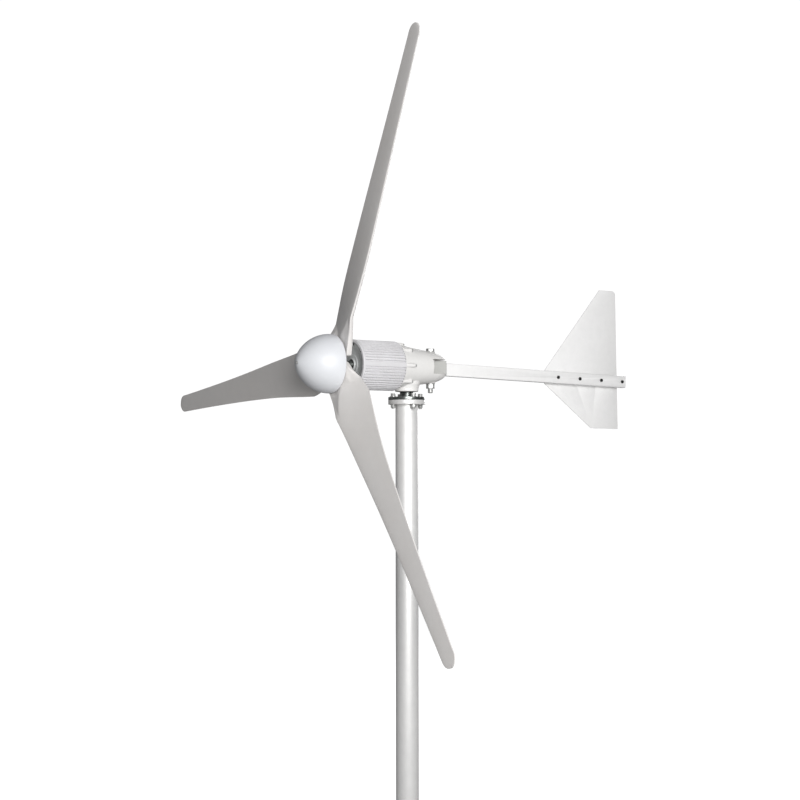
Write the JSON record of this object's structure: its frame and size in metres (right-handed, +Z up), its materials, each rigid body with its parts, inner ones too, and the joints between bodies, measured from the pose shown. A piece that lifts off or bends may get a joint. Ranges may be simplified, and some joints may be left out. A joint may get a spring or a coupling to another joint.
{
  "type": "small wind turbine",
  "caption": "Small horizontal-axis wind turbine: bladed rotor, finned generator, yawing head, folding tail vane and flanged mast.",
  "frame": {"origin": "centre of the anchor bolt circle in the underside of the mast's base plate", "axes": "+Z up the mast along the yaw axis, -Y towards the nose and the oncoming wind, +Y towards the tail, +X to the right seen from the front"},
  "size_m": [2.0594, 1.6467, 2.9831],
  "materials": {
    "mast_paint": "smooth satin paint over steel tube",
    "galvanised": "dull zinc coat",
    "flange_steel": "turned and zinc plated",
    "zinc_steel": "bright zinc plate",
    "dark_steel": "oiled turned steel",
    "hub_steel": "grey primer",
    "bearing_steel": "ground and polished",
    "insulator": "moulded phenolic",
    "slip_brass": "turned",
    "cast_paint": "off-white powder coat on a casting",
    "seal_rubber": "matt",
    "carbon": "pressed carbon",
    "cast_aluminium": "as cast, machined faces",
    "fin_aluminium": "pale silver paint on extruded aluminium",
    "lamination": "stacked sheet",
    "copper_wire": "varnished",
    "cover_grey": "dark grey, slightly rough casting",
    "black_screw": "black oxide",
    "blade_composite": "smooth gel coat on glass-filled nylon",
    "nose_plastic": "smooth, softly glossy",
    "magnet": "nickel plated",
    "hinge_paint": "grey paint",
    "boom_paint": "white paint",
    "cap_plastic": "moulded",
    "vane_paint": "white paint on sheet",
    "vane_bolt_steel": "dark bolts"
  },
  "bodies": {
    "mast": {"mast_base_flange": "galvanised", "mast_tube": "mast_paint", "mast_top_flange": "flange_steel", "flange_bolts": "zinc_steel", "flange_washers": "zinc_steel", "flange_nuts": "zinc_steel", "yaw_spindle": "dark_steel", "yaw_nut": "dark_steel", "slip_ring_drum": "insulator", "slip_rings": "slip_brass", "lower_yaw_bearing_inner": "bearing_steel", "upper_yaw_bearing_inner": "bearing_steel", "yaw_bearing_spacer": "dark_steel"},
    "yaw_balls": {"yaw_bearing_balls": "bearing_steel"},
    "nacelle": {"nacelle_casting": "cast_paint", "casting_bolts": "zinc_steel", "lower_yaw_bearing_outer": "bearing_steel", "upper_yaw_bearing_outer": "bearing_steel", "yaw_seal": "seal_rubber", "brush_holder": "insulator", "brushes": "carbon", "generator_rear_shield": "cast_aluminium", "generator_housing": "fin_aluminium", "stator_core": "lamination", "stator_windings": "copper_wire", "generator_front_cover": "cover_grey", "front_cover_screws": "black_screw", "shaft_seal": "seal_rubber", "front_bearing_outer": "bearing_steel", "rear_bearing_outer": "bearing_steel", "tail_pin": "zinc_steel", "tail_pin_nut": "zinc_steel", "tail_pin_washers": "zinc_steel", "tail_stop_buffer": "seal_rubber"},
    "shaft_balls": {"shaft_bearing_balls": "bearing_steel"},
    "rotor": {"main_shaft": "dark_steel", "hub_key": "dark_steel", "hub_spider": "hub_steel", "hub_front_plate": "hub_steel", "hub_nut": "zinc_steel", "hub_washer": "zinc_steel", "blade_1": "blade_composite", "blade_2": "blade_composite", "blade_3": "blade_composite", "blade_bolts": "zinc_steel", "blade_nuts": "zinc_steel", "nose_cone": "nose_plastic", "nose_cone_screw": "zinc_steel", "rotor_core": "lamination", "rotor_magnets": "magnet", "front_bearing_inner": "bearing_steel", "rear_bearing_inner": "bearing_steel"},
    "tail": {"tail_hinge_block": "hinge_paint", "tail_bushes": "slip_brass", "tail_boom": "boom_paint", "boom_end_cap": "cap_plastic", "tail_vane": "vane_paint", "tail_vane_bolts": "vane_bolt_steel", "tail_vane_nuts": "zinc_steel"}
  },
  "joints": [
    {"name": "yaw", "type": "hinge", "parent": "mast", "child": "nacelle", "pos_m": [0, 0, 1.8], "axis": [0, 0, 1], "continuous": true},
    {"name": "rotor_spin", "type": "hinge", "parent": "nacelle", "child": "rotor", "pos_m": [0, -0.333, 1.8], "axis": [0, 1, 0], "continuous": true},
    {"name": "tail_furl", "type": "hinge", "parent": "nacelle", "child": "tail", "pos_m": [0, 0.114, 1.8], "axis": [0, 0, -1], "range_deg": [0, 75]},
    {"name": "shaft_balls_turn", "type": "hinge", "parent": "nacelle", "child": "shaft_balls", "pos_m": [0, -0.16, 1.8], "axis": [0, 1, 0], "continuous": true},
    {"name": "yaw_balls_turn", "type": "hinge", "parent": "mast", "child": "yaw_balls", "pos_m": [0, 0, 1.8], "axis": [0, 0, 1], "continuous": true}
  ],
  "couplings": [
    {"joint": "shaft_balls_turn", "follows": "rotor_spin", "ratio": 0.397},
    {"joint": "yaw_balls_turn", "follows": "yaw", "ratio": 0.599}
  ]
}
